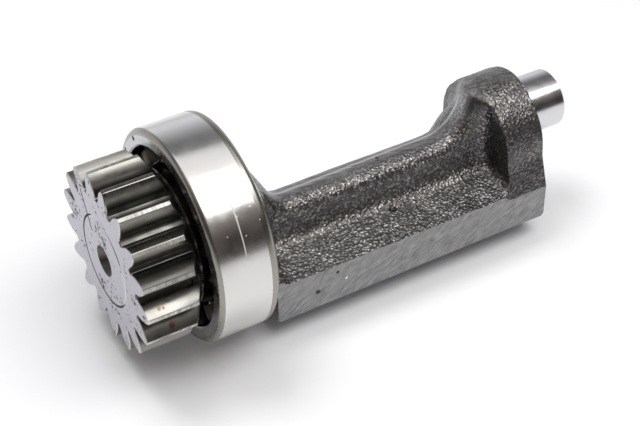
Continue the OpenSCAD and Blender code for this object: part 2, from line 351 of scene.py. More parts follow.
def forged_steel():
    """Hot-forged steel, blasted and oiled: dark scale with pebbles whose worn tops glint.

    Where the flash was trimmed off along the crest the skin is smooth, streaked and paler.
    """
    material, tree, shader, place = surface("forged_steel_blasted_and_oiled")
    trim = add(tree, "Attribute", attribute_name="trim").outputs["Fac"]
    dome, worn = pebbles(tree, place)
    # Stains some 6 mm wide in the scale
    stain = add(tree, "TexNoise", {"Vector": place, "Scale": 170, "Detail": 4})
    scale = add(tree, "Mix", {FACTOR: stain, COLOUR_A: hex_colour("#4c4a49"),
                              COLOUR_B: hex_colour("#6e6c6b")}, data_type="RGBA")
    rubbed = add(tree, "Mix", {FACTOR: worn, COLOUR_A: scale, COLOUR_B: hex_colour("#b0afae")},
                 data_type="RGBA")
    skin = add(tree, "Mix", {FACTOR: trim, COLOUR_A: rubbed, COLOUR_B: trimmed_strip(tree, place)},
               data_type="RGBA")
    # One speck of rust on the strip, and one blow-hole beside the web's foot that is painted near black for
    # the shade in it
    rust = spots(tree, place, ((49.2, 0.5, 0.1, 0.6),))
    rusty = add(tree, "Mix", {FACTOR: rust, COLOUR_A: skin, COLOUR_B: hex_colour("#6b4a3a")},
                data_type="RGBA")
    hole = spots(tree, place, ((*BLOW_HOLE, 0.9),))
    with_hole_shade = add(tree, "Mix", {FACTOR: hole, COLOUR_A: rusty, COLOUR_B: hex_colour("#12100f")},
                data_type="RGBA")
    gloss = add(tree, "MapRange", {"Value": worn, "To Min": 0.33, "To Max": 0.27})
    rough = add(tree, "Mix", {FACTOR: trim, NUMBER_A: gloss, NUMBER_B: 0.46})
    relief = add(tree, "MapRange", {"Value": trim, "To Min": 0.9, "To Max": 0.2})
    # A grain of about 0.4 mm roughens the pebbles and what lies between them
    grain = add(tree, "TexNoise", {"Vector": place, "Scale": 2500, "Detail": 3})
    height = add(tree, "Math", {0: grain, 1: 0.9, 2: dome}, operation="MULTIPLY_ADD")
    bump = add(tree, "Bump", {"Strength": relief, "Distance": 0.16 * MM, "Height": height})
    feed(tree, shader, {"Base Color": with_hole_shade, "Roughness": rough, "Normal": bump})
    return material


def milled_steel():
    """Face-milled steel: mid grey with slanting cutter marks, stains, two open pores painted dark for the
    shade in them, and a bright chip.
    """
    material, tree, shader, place = surface("steel_face_milled")
    # The cutter leaves bands some 0.8 mm wide and 4 mm long, with finer marks in them, at 32 degrees
    along = add(tree, "Mapping", {"Vector": place, "Rotation": (0, math.radians(32), 0)})
    marks = add(tree, "Mapping", {"Vector": along, "Scale": (260, 1, 1200)})
    cutter = add(tree, "TexNoise", {"Vector": marks, "Scale": 1, "Detail": 6, "Roughness": 0.7})
    bands = add(tree, "MapRange", {"Value": cutter, "From Min": 0.36, "From Max": 0.64})
    tone = add(tree, "Mix", {FACTOR: bands, COLOUR_A: hex_colour("#6c6c6d"),
                             COLOUR_B: hex_colour("#a1a1a1")}, data_type="RGBA")
    # Stains some 4 mm wide dull the marks
    cloud = add(tree, "TexNoise", {"Vector": place, "Scale": 240, "Detail": 4})
    dull = add(tree, "MapRange", {"Value": cloud, "From Min": 0.4, "From Max": 0.75, "To Max": 0.7})
    stained = add(tree, "Mix", {FACTOR: dull, COLOUR_A: tone, COLOUR_B: hex_colour("#929293")},
                  data_type="RGBA")
    # Two open pores, painted dark for the shade in them
    pores = spots(tree, place, ((21.8, -FLAT, -17.2, 0.85), (27.3, -FLAT, -13.5, 0.6)))
    with_pore_shade = add(tree, "Mix", {FACTOR: pores, COLOUR_A: stained, COLOUR_B: hex_colour("#3a3838")},
                data_type="RGBA")
    chip = spots(tree, place, ((29.7, -FLAT, -16.4, 0.4),))
    skin = add(tree, "Mix", {FACTOR: chip, COLOUR_A: with_pore_shade, COLOUR_B: hex_colour("#f2f2f2")},
               data_type="RGBA")
    rough = add(tree, "MapRange", {"Value": cloud, "From Min": 0.3, "From Max": 0.7, "To Min": 0.36,
                                   "To Max": 0.5})
    bump = add(tree, "Bump", {"Strength": 0.5, "Distance": 0.06 * MM, "Height": cutter})
    feed(tree, shader, {"Base Color": skin, "Roughness": rough, "Normal": bump})
    return material


def turned_steel(name, colour, rough, line, depth):
    """Turned or ground steel: lines round the axis, this far apart and deep, under a handled finish.

    Smears some 4 mm wide take the finish from the lower to the higher of two roughnesses. Lines finer
    than about 0.2 mm wouldn't show, so the finest finishes are drawn coarser than they are.
    """
    material, tree, shader, place = surface(name)
    lines = add(tree, "Mapping", {"Vector": place, "Scale": (1 / (line * MM), 30, 30)})
    cut = add(tree, "TexNoise", {"Vector": lines, "Scale": 1, "Detail": 4, "Roughness": 0.6})
    smear = add(tree, "TexNoise", {"Vector": place, "Scale": 230, "Detail": 4, "Roughness": 0.6})
    polish = add(tree, "MapRange", {"Value": smear, "From Min": 0.35, "From Max": 0.7, "To Min": rough[0],
                                    "To Max": rough[1]})
    bump = add(tree, "Bump", {"Strength": 0.2, "Distance": depth * MM, "Height": cut})
    feed(tree, shader, {"Base Color": hex_colour(colour), "Roughness": polish, "Normal": bump})
    return material


def faced_steel():
    """Faced and lapped steel: pale satin with a cool cast, pits painted black for the shade in them, and
    fine slanting scratches.
    """
    material, tree, shader, place = surface("steel_faced_satin")
    # Pits of about 0.4 mm that gather in patches of about 4 mm, painted black for the shade in them
    pit = add(tree, "TexNoise", {"Vector": place, "Scale": 1200, "Detail": 1})
    patch = add(tree, "TexNoise", {"Vector": place, "Scale": 230, "Detail": 1})
    deep = add(tree, "Math", {0: pit, 1: patch}, operation="ADD")
    pits = add(tree, "MapRange", {"Value": deep, "From Min": 1.2, "From Max": 1.26})
    # Scratches 0.4 mm wide and some 8 mm long, wider than real ones so that they show
    slant = add(tree, "Mapping", {"Vector": place, "Rotation": (math.radians(-55), 0, 0)})
    drawn = add(tree, "Mapping", {"Vector": slant, "Scale": (1, 120, 2600)})
    scratch = add(tree, "TexNoise", {"Vector": drawn, "Scale": 1, "Detail": 3})
    tone = add(tree, "Mix", {FACTOR: scratch, COLOUR_A: hex_colour("#b3b1b9"),
                             COLOUR_B: hex_colour("#c9c7cf")}, data_type="RGBA")
    skin = add(tree, "Mix", {FACTOR: pits, COLOUR_A: tone, COLOUR_B: hex_colour("#141313")},
               data_type="RGBA")
    bump = add(tree, "Bump", {"Strength": 0.25, "Distance": 0.03 * MM, "Height": scratch})
    feed(tree, shader, {"Base Color": skin, "Roughness": 0.42, "Normal": bump})
    return material


def flank_steel():
    """Hobbed tooth flanks with old oil: dark grey with an olive cast, streaks and a few specks of rust."""
    material, tree, shader, place = surface("gear_steel_hobbed_and_oily")
    # Streaks 0.5 mm wide that run some 10 mm along the tooth, under oil in patches of about 4 mm
    streaks = add(tree, "Mapping", {"Vector": place, "Scale": (110, 2000, 2000)})
    run = add(tree, "TexNoise", {"Vector": streaks, "Scale": 1, "Detail": 4})
    oil_and_shade = add(tree, "TexNoise", {"Vector": place, "Scale": 260, "Detail": 4})
    tone = add(tree, "Mix", {FACTOR: run, COLOUR_A: hex_colour("#565550"), COLOUR_B: hex_colour("#858581")},
               data_type="RGBA")
    film_and_shade = add(tree, "MapRange", {"Value": oil_and_shade, "From Min": 0.45, "From Max": 0.7, "To Max": 0.5})
    oily = add(tree, "Mix", {FACTOR: film_and_shade, COLOUR_A: tone, COLOUR_B: hex_colour("#2c2b28")},
               data_type="RGBA")
    # The outer 3 mm of the flanks are brighter: wear from the mating gear and a painted highlight
    turning = add(tree, "VectorMath", {0: place, 1: (0, 1, 1)}, operation="MULTIPLY")
    reach = add(tree, "VectorMath", {0: turning}, operation="LENGTH")
    worn_and_highlit = add(tree, "MapRange", {"Value": reach, "From Min": 18.3 * MM, "From Max": 21.5 * MM})
    rubbed = add(tree, "Mix", {FACTOR: worn_and_highlit, COLOUR_A: oily, COLOUR_B: hex_colour("#8d8c86")},
                 data_type="RGBA")
    rust = spots(tree, place, ((-16.8, -19.4, -7.4, 1.0), (-23.0, -4.2, 21.4, 0.6),
                               (-20.0, -20.8, 0.1, 0.6), (-19.0, -20.9, 0.0, 0.5)))
    skin = add(tree, "Mix", {FACTOR: rust, COLOUR_A: rubbed, COLOUR_B: hex_colour("#77563f")},
               data_type="RGBA")
    rough = add(tree, "MapRange", {"Value": oil_and_shade, "From Min": 0.3, "From Max": 0.7, "To Min": 0.24,
                                   "To Max": 0.38})
    bump = add(tree, "Bump", {"Strength": 0.3, "Distance": 0.03 * MM, "Height": run})
    feed(tree, shader, {"Base Color": skin, "Roughness": rough, "Normal": bump})
    return material


def land_steel():
    """Turned tooth lands: grey with chatter across them, bright at the front end, oily on one tooth."""
    material, tree, shader, place = surface("gear_steel_turned_and_worn")
    # Chatter bars 0.5 mm wide along the tooth, in patches of about 6 mm
    bars = add(tree, "Mapping", {"Vector": place, "Scale": (2000, 60, 60)})
    chatter = add(tree, "TexNoise", {"Vector": bars, "Scale": 1, "Detail": 2})
    patch = add(tree, "TexNoise", {"Vector": place, "Scale": 160, "Detail": 2})
    strong = add(tree, "Math", {0: chatter, 1: patch}, operation="MULTIPLY")
    struck = add(tree, "MapRange", {"Value": strong, "From Min": 0.15, "From Max": 0.4})
    tone = add(tree, "Mix", {FACTOR: struck, COLOUR_A: hex_colour("#92918d"),
                             COLOUR_B: hex_colour("#d6d5d2")}, data_type="RGBA")
    # The first 4 mm are rubbed bright
    spot = add(tree, "SeparateXYZ", {0: place})
    front = add(tree, "MapRange", {"Value": spot.outputs["X"], "From Min": -19.5 * MM,
                                   "From Max": -23.2 * MM})
    bright = add(tree, "Mix", {FACTOR: front, COLOUR_A: tone, COLOUR_B: hex_colour("#d2d1cd")},
                 data_type="RGBA")
    # The oily tooth is the topmost one of the near side, which lies between these two widths
    left = add(tree, "MapRange", {"Value": spot.outputs["Y"], "From Min": -5.2 * MM, "From Max": -4.7 * MM})
    right = add(tree, "MapRange", {"Value": spot.outputs["Y"], "From Min": -1.8 * MM,
                                   "From Max": -2.3 * MM})
    above = add(tree, "Math", {0: spot.outputs["Z"], 1: 0.0}, operation="GREATER_THAN")
    band = add(tree, "Math", {0: left, 1: right}, operation="MULTIPLY")
    tooth = add(tree, "Math", {0: band, 1: above}, operation="MULTIPLY")
    film_and_shade = add(tree, "Math", {0: tooth, 1: 0.85}, operation="MULTIPLY")
    skin = add(tree, "Mix", {FACTOR: film_and_shade, COLOUR_A: bright, COLOUR_B: hex_colour("#45443f")},
               data_type="RGBA")
    bump = add(tree, "Bump", {"Strength": 0.3, "Distance": 0.03 * MM, "Height": chatter})
    feed(tree, shader, {"Base Color": skin, "Roughness": 0.46, "Normal": bump})
    return material


def hairline(tree, place):
    """A mask of one hairline scratch round the ring's middle, on its near upper part only."""
    # It is 0.3 mm wide and wavers by 0.3 mm to each side
    waver = add(tree, "TexNoise", {"Vector": place, "Scale": 90, "Detail": 1})
    spot = add(tree, "SeparateXYZ", {0: place})
    shift = add(tree, "Math", {0: waver, 1: -0.6 * MM, 2: spot.outputs["X"]}, operation="MULTIPLY_ADD")
    off = add(tree, "Math", {0: shift, 1: 0.3 * MM}, operation="ADD")
    gap = add(tree, "Math", {0: off}, operation="ABSOLUTE")
    hair = add(tree, "MapRange", {"Value": gap, "From Min": 0.1 * MM, "From Max": 0.18 * MM, "To Min": 1,
                                  "To Max": 0})
    foot = add(tree, "MapRange", {"Value": spot.outputs["Z"], "From Min": 7.5 * MM, "From Max": 10 * MM})
    head = add(tree, "MapRange", {"Value": spot.outputs["Z"], "From Min": 22.5 * MM, "From Max": 20.5 * MM})
    near = add(tree, "Math", {0: spot.outputs["Y"], 1: 0.0}, operation="LESS_THAN")
    length = add(tree, "Math", {0: foot, 1: head}, operation="MULTIPLY")
    here = add(tree, "Math", {0: length, 1: near}, operation="MULTIPLY")
    return add(tree, "Math", {0: hair, 1: here}, operation="MULTIPLY")


def handled_ring_steel():
    """Ground bearing steel, handled and scuffed: a soft mirror with a hairline scratch and dust."""
    material, tree, shader, place = surface("bearing_steel_ground_and_handled")
    # Grinding lines 0.3 mm apart round the axis, coarser than real ones, and smears of about 5 mm
    lines = add(tree, "Mapping", {"Vector": place, "Scale": (3300, 30, 30)})
    cut = add(tree, "TexNoise", {"Vector": lines, "Scale": 1, "Detail": 4})
    smear = add(tree, "TexNoise", {"Vector": place, "Scale": 210, "Detail": 5, "Roughness": 0.65})
    dust = spots(tree, place, ((0.4, -20.0, 16.6, 0.2), (1.1, -22.6, 12.9, 0.22), (4.0, -19.2, 17.5, 0.25),
                               (5.2, -21.4, 14.8, 0.2), (-3.2, -22.0, 13.8, 0.18)))
    marked = add(tree, "Math", {0: hairline(tree, place), 1: dust}, operation="MAXIMUM")
    tone = add(tree, "Mix", {FACTOR: marked, COLOUR_A: hex_colour("#d7d6d4"),
                             COLOUR_B: hex_colour("#e6e6e4")}, data_type="RGBA")
    polish = add(tree, "MapRange", {"Value": smear, "From Min": 0.35, "From Max": 0.7, "To Min": 0.17,
                                    "To Max": 0.26})
    rough = add(tree, "Math", {0: marked, 1: 0.5, 2: polish}, operation="MULTIPLY_ADD")
    bump = add(tree, "Bump", {"Strength": 0.2, "Distance": 0.004 * MM, "Height": cut})
    feed(tree, shader, {"Base Color": tone, "Roughness": rough, "Normal": bump})
    return material


def oil_and_recess_shade():
    """A dull brown-black: painted shade in the scribed timing line, the punch dots and the pilot hole, and
    dried oil and grit in the gear's fit line.
    """
    material, tree, shader, place = surface("dried_oil_and_painted_recess_shade", metallic=0.0)
    # Grit of about 0.3 mm
    grit = add(tree, "TexNoise", {"Vector": place, "Scale": 3000, "Detail": 2})
    tone = add(tree, "Mix", {FACTOR: grit, COLOUR_A: hex_colour("#12100e"), COLOUR_B: hex_colour("#231d19")},
               data_type="RGBA")
    rough = add(tree, "MapRange", {"Value": grit, "To Min": 0.45, "To Max": 0.65})
    feed(tree, shader, {"Base Color": tone, "Roughness": rough})
    return material


GRIME_AND_SHADE = oil_and_recess_shade()
FORGED, MILLED, TURNED, GROUND, FACED, CENTRE, RECESS_SHADE = range(7)
SHAFT_FINISHES = [
    forged_steel(),
    milled_steel(),
    # Turned and left so: grey, with lines that spread the light
    turned_steel("steel_turned", "#9b9ca0", rough=(0.3, 0.42), line=0.5, depth=0.03),
    # Ground: a bright soft mirror
    turned_steel("steel_ground", "#d4d4d6", rough=(0.13, 0.24), line=0.25, depth=0.006),
    faced_steel(),
    # Drilled: dull and brownish, with grime and painted shade in the recess
    turned_steel("steel_centre_drilled_grimy_and_shaded", "#6a6661", rough=(0.34, 0.46), line=0.4, depth=0.02),
    GRIME_AND_SHADE,
]


# Shaft: forged first, with stock on what is machined later, then milled and turned

# Stock on what is machined, and how fine the forged skin is
STOCK = 0.9
VOXEL = 0.3
SOFTENINGS = 22
# Each end is cut this much short of its face, and its rim then goes out past the face by the stock
END_CUT = 0.05
# Below this height the weight's underside is round
ROUND_Z = -20
# How far the skin goes on down for each millimetre outwards: from a recess floor and from the cheek
FLOOR_DROP = 0.25
CHEEK_DROP = 2.96
# The far corner between web and cheek is filled about this point, by this much
FAR_CORNER = Vector((73.5, 6.5, 0))
FAR_FILL = Vector((-1.3, 1.6, 0.4))
# Each step of smoothing starts further back, so the shoulder gets rounder towards the cheek
EASE_STARTS = (24, 38, 46, 54, 60)
EASE_ROUNDS = 25


def forging_blank():
    """The CAD shaft between its two ends, thicker by the stock wherever a cutter goes over it later."""
    bm = bmesh.new()
    bm.from_mesh(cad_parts["balance_shaft"].data)
    bmesh.ops.remove_doubles(bm, verts=bm.verts, dist=1e-6)
    for end, way in ((WEIGHT_FRONT + END_CUT, -1), (WEIGHT_BACK - END_CUT, 1)):
        parts = bm.verts[:] + bm.edges[:] + bm.faces[:]
        made = bmesh.ops.bisect_plane(bm, geom=parts, plane_co=(end * MM, 0, 0), plane_no=(way, 0, 0),
                                      clear_outer=True)
        rim = [e for e in made["geom_cut"] if isinstance(e, bmesh.types.BMEdge)]
        bmesh.ops.holes_fill(bm, edges=rim, sides=0)
        for vert in {v for e in rim for v in e.verts}:
            vert.co.x += way * (STOCK + END_CUT) * MM
    for vert in bm.verts:
        y, z = vert.co.y / MM, vert.co.z / MM
        reach = math.hypot(y, z)
        if z < ROUND_Z and reach > WEIGHT_R - EDGE - 0.1:
            vert.co.y *= (WEIGHT_R + STOCK) / reach
            vert.co.z *= (WEIGHT_R + STOCK) / reach
        if abs(y) > FLAT - 0.02:
            vert.co.y = math.copysign((FLAT + STOCK) * MM, y)
            if z > ROUND_Z:
                drop = CHEEK_DROP if vert.co.x > CHEEK_FRONT * MM else FLOOR_DROP
                vert.co.z -= STOCK * drop * MM
    return to_object("shaft_forged", bm, SHAFT_FINISHES)


def from_crest(x, z):
    """Distance of a point from the crest's line, which rises to the flare in front and the cheek behind."""
    if x < FRONT_RISE_X:
        away = abs(math.hypot(x - FRONT_RISE_X, z - CREST_Z - FRONT_RISE) - FRONT_RISE)
        slope = (x - WEIGHT_FRONT) * math.cos(FLARE_LEAN) + (z - SHOULDER_R) * math.sin(FLARE_LEAN)
        return min(away, abs(slope)) if z > CREST_Z + FRONT_RISE / 2 else away
    if x > REAR_RISE_X:
        if z > CREST_Z + REAR_RISE:
            return abs(x - REAR_RISE_X - REAR_RISE)
        return abs(math.hypot(x - REAR_RISE_X, z - CREST_Z - REAR_RISE) - REAR_RISE)
    return abs(z - CREST_Z)


def on_trim(p):
    """How far a point lies on the smooth strip that the trimmed flash left on the crest, from 0 to 1."""
    # The cheek's rim is half smooth on top and low down, but pebbled on its near shoulder
    calm = max(between(p.z, 9, 5), between(p.y, -4.5, -1))
    rim = 0.45 * calm * between(p.x, CHEEK_FRONT - 0.5, CHEEK_FRONT + 0.5)
    # The strip widens towards the near side as it climbs the cheek
    wider = 6 * between(p.z, 2, 11) if p.x > REAR_RISE_X else 0
    near = between(p.y, -CREST_HALF - 1.4 - wider, 0.4 - wider)
    # The far half of the cheek's front is smooth down to the recess
    if p.x > REAR_RISE_X + 4 and p.y > 1:
        return max(rim, 0.9 * between(p.z, -8, -2) * between(p.z, 15, 13) * between(p.x, 79, 77))
    far = between(p.y, WEB_HALF + 0.5, WEB_HALF - 0.5)
    return max(rim, near * far * between(from_crest(p.x, p.z), 4.5, 2.5) * between(p.z, 15, 11))


def ease(mesh):
    """Fill the far corner of web and cheek, then round the near shoulder and the cheek's front edge."""
    bm = bmesh.new()
    bm.from_mesh(mesh)
    for vert in bm.verts:
        p = vert.co / MM
        if p.y > 2:
            vert.co += FAR_FILL * between((p - FAR_CORNER).length, 7, 1) * MM
    for step, start in enumerate(EASE_STARTS):
        eased = []
        for vert in bm.verts:
            p = vert.co / MM
            shoulder = start < p.x < CHEEK_FRONT - 1 and -8 < p.y < 0.5 and p.z > -9
            # The rounding of the front edge goes further towards the near side with each step
            side = -1.6 * step if p.z > 9 else 2
            edge = REAR_RISE_X + 3 < p.x < CHEEK_FRONT + 1.5 and p.z > 5 and p.y > side
            if shoulder or edge:
                eased.append(vert)
        for i in range(EASE_ROUNDS):
            bmesh.ops.smooth_vert(bm, verts=eased, factor=0.5, use_axis_x=True, use_axis_y=True,
                                  use_axis_z=True)
    bm.to_mesh(mesh)
    bm.free()


def hammer(mesh):
    """Push the forging's skin into pebbles, dents and slow waves, but keep the trimmed strip smooth."""
    count = len(mesh.vertices)
    places = np.empty(count * 3)
    normals = np.empty(count * 3)
    mesh.vertices.foreach_get("co", places)
    mesh.vertices.foreach_get("normal", normals)
    heights = np.empty(count)
    hole_middle = Vector(BLOW_HOLE)
    for i, place in enumerate(places.reshape(-1, 3)):
        p = Vector(place) / MM
        # Waves of 6.5 mm, and pebbles of 0.9 mm with a grain of 0.5 mm
        wave = 0.22 * noise.noise(p / 6.5)
        dents = 0.14 * (0.45 - noise.voronoi(p / 0.88)[0][0]) + 0.03 * noise.noise(p / 0.5)
        # The strip has streaks 0.7 mm wide instead, and one low ridge where the shear let go
        streaks = 0.04 * noise.noise(Vector((p.x / 4, p.y / 0.7, p.z / 4)))
        ridge = 0.1 * between(abs(p.y - SHEAR_Y - SHEAR_SLANT * p.x), 0.6, 0.1) * between(p.x, 68, 63)
        hole = -0.7 * between((p - hole_middle).length, 1.1, 0.3)
        trim = on_trim(p)
        heights[i] = wave * (1 - 0.6 * trim) + dents * (1 - trim) + (streaks + ridge) * trim + hole
    places += normals * np.repeat(heights, 3) * MM
    mesh.vertices.foreach_set("co", places)
    mesh.update()


def machined_envelope():
    """What the milling cutter and the lathe leave: two flats, a round underside and square ends."""
    open_top = 40.0
    # The small corner between a flat and the underside
    corner_in, corner_up = 0.25, 0.3
    steps = 24
    bm = bmesh.new()
    loops = []
    for x, radius in ((WEIGHT_FRONT, WEIGHT_R - EDGE), (WEIGHT_FRONT + EDGE, WEIGHT_R),
                      (WEIGHT_BACK - EDGE, WEIGHT_R), (WEIGHT_BACK, WEIGHT_R - EDGE)):
        half = math.asin((FLAT - corner_in) / radius)
        turns = [half * (i / steps - 1) for i in range(2 * steps + 1)]
        under = [(x, radius * math.sin(t), -radius * math.cos(t)) for t in turns]
        corner = -radius * math.cos(half) + corner_up
        near = [(x, -FLAT, open_top), (x, -FLAT, corner)]
        far = [(x, FLAT, corner), (x, FLAT, open_top)]
        loops.append(closed_loop(bm, near + under + far))
    for first, second in zip(loops, loops[1:]):
        bmesh.ops.bridge_loops(bm, edges=first + second)
    for rim in (loops[0], loops[-1]):
        bmesh.ops.holes_fill(bm, edges=rim, sides=0)
    bmesh.ops.recalc_face_normals(bm, faces=bm.faces)
    for face in bm.faces:
        middle = face.calc_center_median() / MM
        face.material_index = MILLED if abs(middle.y) > FLAT - 0.01 else TURNED
    return to_object("machining", bm, SHAFT_FINISHES)


def lathe_centre(end, way, mouth):
    """Half section of a lathe centre, from the bottom of its pilot hole out to its mouth."""
    # A cone of 60 degrees, then a pilot hole three of its radii deep with a drill point
    pilot = mouth * PILOT_SHARE
    cone = (mouth - pilot) / math.tan(math.radians(30))
    return [(end + way * (cone + 3.6 * pilot), 0), (end + way * (cone + 3 * pilot), pilot),
            (end + way * cone, pilot), (end, mouth)]


def front_end():
    """Turned front of the shaft: lathe centre, gear seat, bearing seat and shoulder."""
    # The bearing seat starts just behind the ring's front face
    seat = RING_FRONT + 0.3
    half = EDGE / 2
    bm = spun(lathe_centre(SHAFT_FRONT, 1, FRONT_CENTRE_R) + [
        (SHAFT_FRONT, GEAR_SEAT_R - half), (SHAFT_FRONT + half, GEAR_SEAT_R), (seat, GEAR_SEAT_R),
        (seat, BEARING_SEAT_R - half), (seat + half, BEARING_SEAT_R), (RING_BACK, BEARING_SEAT_R),
        (RING_BACK, SHOULDER_R - half), (RING_BACK + half, SHOULDER_R), (WEIGHT_FRONT, SHOULDER_R),
        (WEIGHT_FRONT + 1, SHOULDER_R - 2), (WEIGHT_FRONT + 1, 0)], TURNED_STEPS)

    def finish(x, r):
        if x < SHAFT_FRONT + 0.01:
            return FACED
        if r < FRONT_CENTRE_R:
            # The pilot hole is painted near black for the shade inside it
            return RECESS_SHADE if r < FRONT_CENTRE_R * PILOT_SHARE else CENTRE
        return GROUND

    set_finish(bm, finish)
    return to_object("front_end", bm, SHAFT_FINISHES)


def rear_end():
    """Turned rear of the shaft: thrust land, ground journal and lathe centre."""
    bm = spun([(WEIGHT_BACK - 1, 0), (WEIGHT_BACK - 1, THRUST_R), (THRUST_BACK, THRUST_R),
               (THRUST_BACK, JOURNAL_R), (SHAFT_END - EDGE, JOURNAL_R), (SHAFT_END, JOURNAL_R - EDGE)]
              + lathe_centre(SHAFT_END, -1, REAR_CENTRE_R)[::-1], TURNED_STEPS)
    set_finish(bm, lambda x, r: TURNED if r > JOURNAL_R + 0.01 or x > SHAFT_END - 0.01 else GROUND)
    return to_object("rear_end", bm, SHAFT_FINISHES)


def timing_cutter(finishes):
    """A thin blade that scribes the timing line and leaves the last of these finishes, painted shade, in it.
    """
    line = TIMING_STOP - TIMING_START
    middle = (TIMING_START + TIMING_STOP) / 2
    bm = bmesh.new()
    bmesh.ops.create_cube(bm, size=1)
    turn = Matrix.Rotation(math.atan2(line.y, line.x), 4, "X")
    place = Matrix.Translation(Vector((GEAR_FRONT, middle.x, middle.y)) * MM)
    size = Matrix.Diagonal(Vector((2 * TIMING_DEPTH, line.length, TIMING_WIDTH)) * MM).to_4x4()
    bmesh.ops.transform(bm, matrix=place @ turn @ size, verts=bm.verts)
    for face in bm.faces:
        face.material_index = len(finishes) - 1
    return to_object("timing_blade", bm, finishes)


def balance_shaft():
    """Forge, mill and turn the shaft."""
    obj = forging_blank()
    remesh = obj.modifiers.new("skin", "REMESH")
    remesh.mode = "VOXEL"
    remesh.voxel_size = VOXEL * MM
    soften = obj.modifiers.new("soften", "SMOOTH")
    soften.factor = 0.5
    soften.iterations = SOFTENINGS
    bake(obj)
    ease(obj.data)
    hammer(obj.data)
    combine(obj, machined_envelope(), "INTERSECT")
    combine(obj, front_end(), "UNION")
    combine(obj, rear_end(), "UNION")
    combine(obj, timing_cutter(SHAFT_FINISHES), "DIFFERENCE")
    shade(obj, 25, soft=FORGED)
    trim = obj.data.attributes.new("trim", "FLOAT", "POINT")
    trim.data.foreach_set("value", [on_trim(v.co / MM) for v in obj.data.vertices])
    return obj


# Gear

FLANK, LAND, FACE, FITTED = range(4)
GEAR_FINISHES = [
    flank_steel(),
    land_steel(),
    SHAFT_FINISHES[FACED],
    GRIME_AND_SHADE,
]


def involute(pressure):
    """Involute angle at a pressure angle, both in radians."""
    return math.tan(pressure) - pressure


def half_tooth(r):
    """Half the angle that a tooth covers at radius r."""
    pitch_half = (math.pi / 2 + 2 * TOOTH_SHIFT * math.tan(PRESSURE)) / TEETH
    return pitch_half + involute(PRESSURE) - involute(math.acos(min(1, BASE_R / r)))


def tooth_side(depth):
    """One side of a tooth from the middle of the gap to the middle of the land, as (radius, angle).

    The outline is drawn in by the depth.
    """
    foot = half_tooth(BASE_R)
    gap = math.pi / TEETH
    # The root blend is a curve from the gap's floor, past its corner with the flank, to the flank
    start = foot + 0.62 * (gap - foot)
    past = foot + 0.01
    steps = 6
    side = [(ROOT_R - depth, gap)]
    for i in range(steps):
        t = i / steps
        radius = (1 - t * t) * ROOT_R + t * t * BASE_R
        angle = (1 - t) ** 2 * start + 2 * t * (1 - t) * past + t * t * foot
        side.append((radius - (1 - t) * depth, angle - t * depth / radius))
    steps = 10
    for i in range(steps + 1):
        radius = BASE_R + (TIP_R - TIP_CORNER - BASE_R) * i / steps
        side.append((min(radius, TIP_R - depth), half_tooth(radius) - depth / radius))
    # The corner at the tip is broken in two steps
    tip = half_tooth(TIP_R) - depth / TIP_R
    side.append((TIP_R - max(0.06, depth), tip - 0.03 * TIP_CORNER))
    side.append((TIP_R - depth, tip - 0.8 * TIP_CORNER / TIP_R))
    side.append((TIP_R - depth, 0.0))
    return side


def gear_outline(depth):
    """Outline of the gear, drawn in by a depth, as points (y, z) in millimetres."""
    side = tooth_side(depth)
    tooth = [(r, -a) for r, a in side] + [(r, a) for r, a in reversed(side[1:-1])]
    points = []
    for k in range(TEETH):
        for r, a in tooth:
            turn = GEAR_PHASE + k * math.tau / TEETH + a
            points.append(Vector((r * math.cos(turn), r * math.sin(turn))))
    return points


def tooth_stations():
    """Sections along the teeth as (x, depth, reach): a worn front edge, then the turned back chamfer."""
    stations = [(GEAR_FRONT, WORN_EDGE, TIP_R), (GEAR_FRONT + 0.08, 0.1, TIP_R),
                (GEAR_FRONT + WORN_EDGE, 0, TIP_R)]
    chamfer_start = TEETH_BACK - TOOTH_CHAMFER
    steps = 8
    for i in range(steps + 1):
        reach = TIP_R + (CHAMFER_R - TIP_R) * i / steps
        stations.append((chamfer_start + TOOTH_CHAMFER * i / steps, 0, reach))
    return stations


def gear_finish(x, r):
    """The finish of the gear at a place: its face, its fit line, its lands or its flanks."""
    if x < GEAR_FRONT + 0.01:
        return FACE
    if x < GEAR_FRONT + EDGE / 2 and r < GEAR_SEAT_R + EDGE / 2:
        return FITTED
    if r > TIP_R - 0.05 or (r > ROOT_R and x < GEAR_FRONT + WORN_EDGE):
        return LAND
    return FLANK


def drive_gear():
    """Teeth with worn front edges and a turned back chamfer, a hub land and a chamfered bore."""
    bm = bmesh.new()
    loops = []
    for x, depth, reach in tooth_stations():
        section = []
        for p in gear_outline(depth):
            held = p * min(1, reach / p.length)
            section.append((x, held.x, held.y))
        loops.append(closed_loop(bm, section))
    for first, second in zip(loops, loops[1:]):
        bmesh.ops.bridge_loops(bm, edges=first + second)
    spin_section(bm, [(TEETH_BACK, HUB_R), (GEAR_BACK - HUB_EDGE, HUB_R), (GEAR_BACK, HUB_R - HUB_EDGE),
                      (GEAR_BACK, GEAR_SEAT_R), (GEAR_FRONT + EDGE / 2, GEAR_SEAT_R),
                      (GEAR_FRONT, GEAR_SEAT_R + EDGE / 2)], TURNED_STEPS)
    for x in (GEAR_FRONT, TEETH_BACK):
        rim = [e for e in bm.edges if e.is_boundary and all(abs(v.co.x / MM - x) < 1e-3 for v in e.verts)]
        bmesh.ops.triangle_fill(bm, edges=rim, use_beauty=True)
    bmesh.ops.recalc_face_normals(bm, faces=bm.faces)
    set_finish(bm, gear_finish)
    obj = to_object("gear_with_worn_teeth", bm, GEAR_FINISHES)
    combine(obj, timing_cutter(GEAR_FINISHES), "DIFFERENCE")
    shade(obj, 28)
    return obj


# Bearing

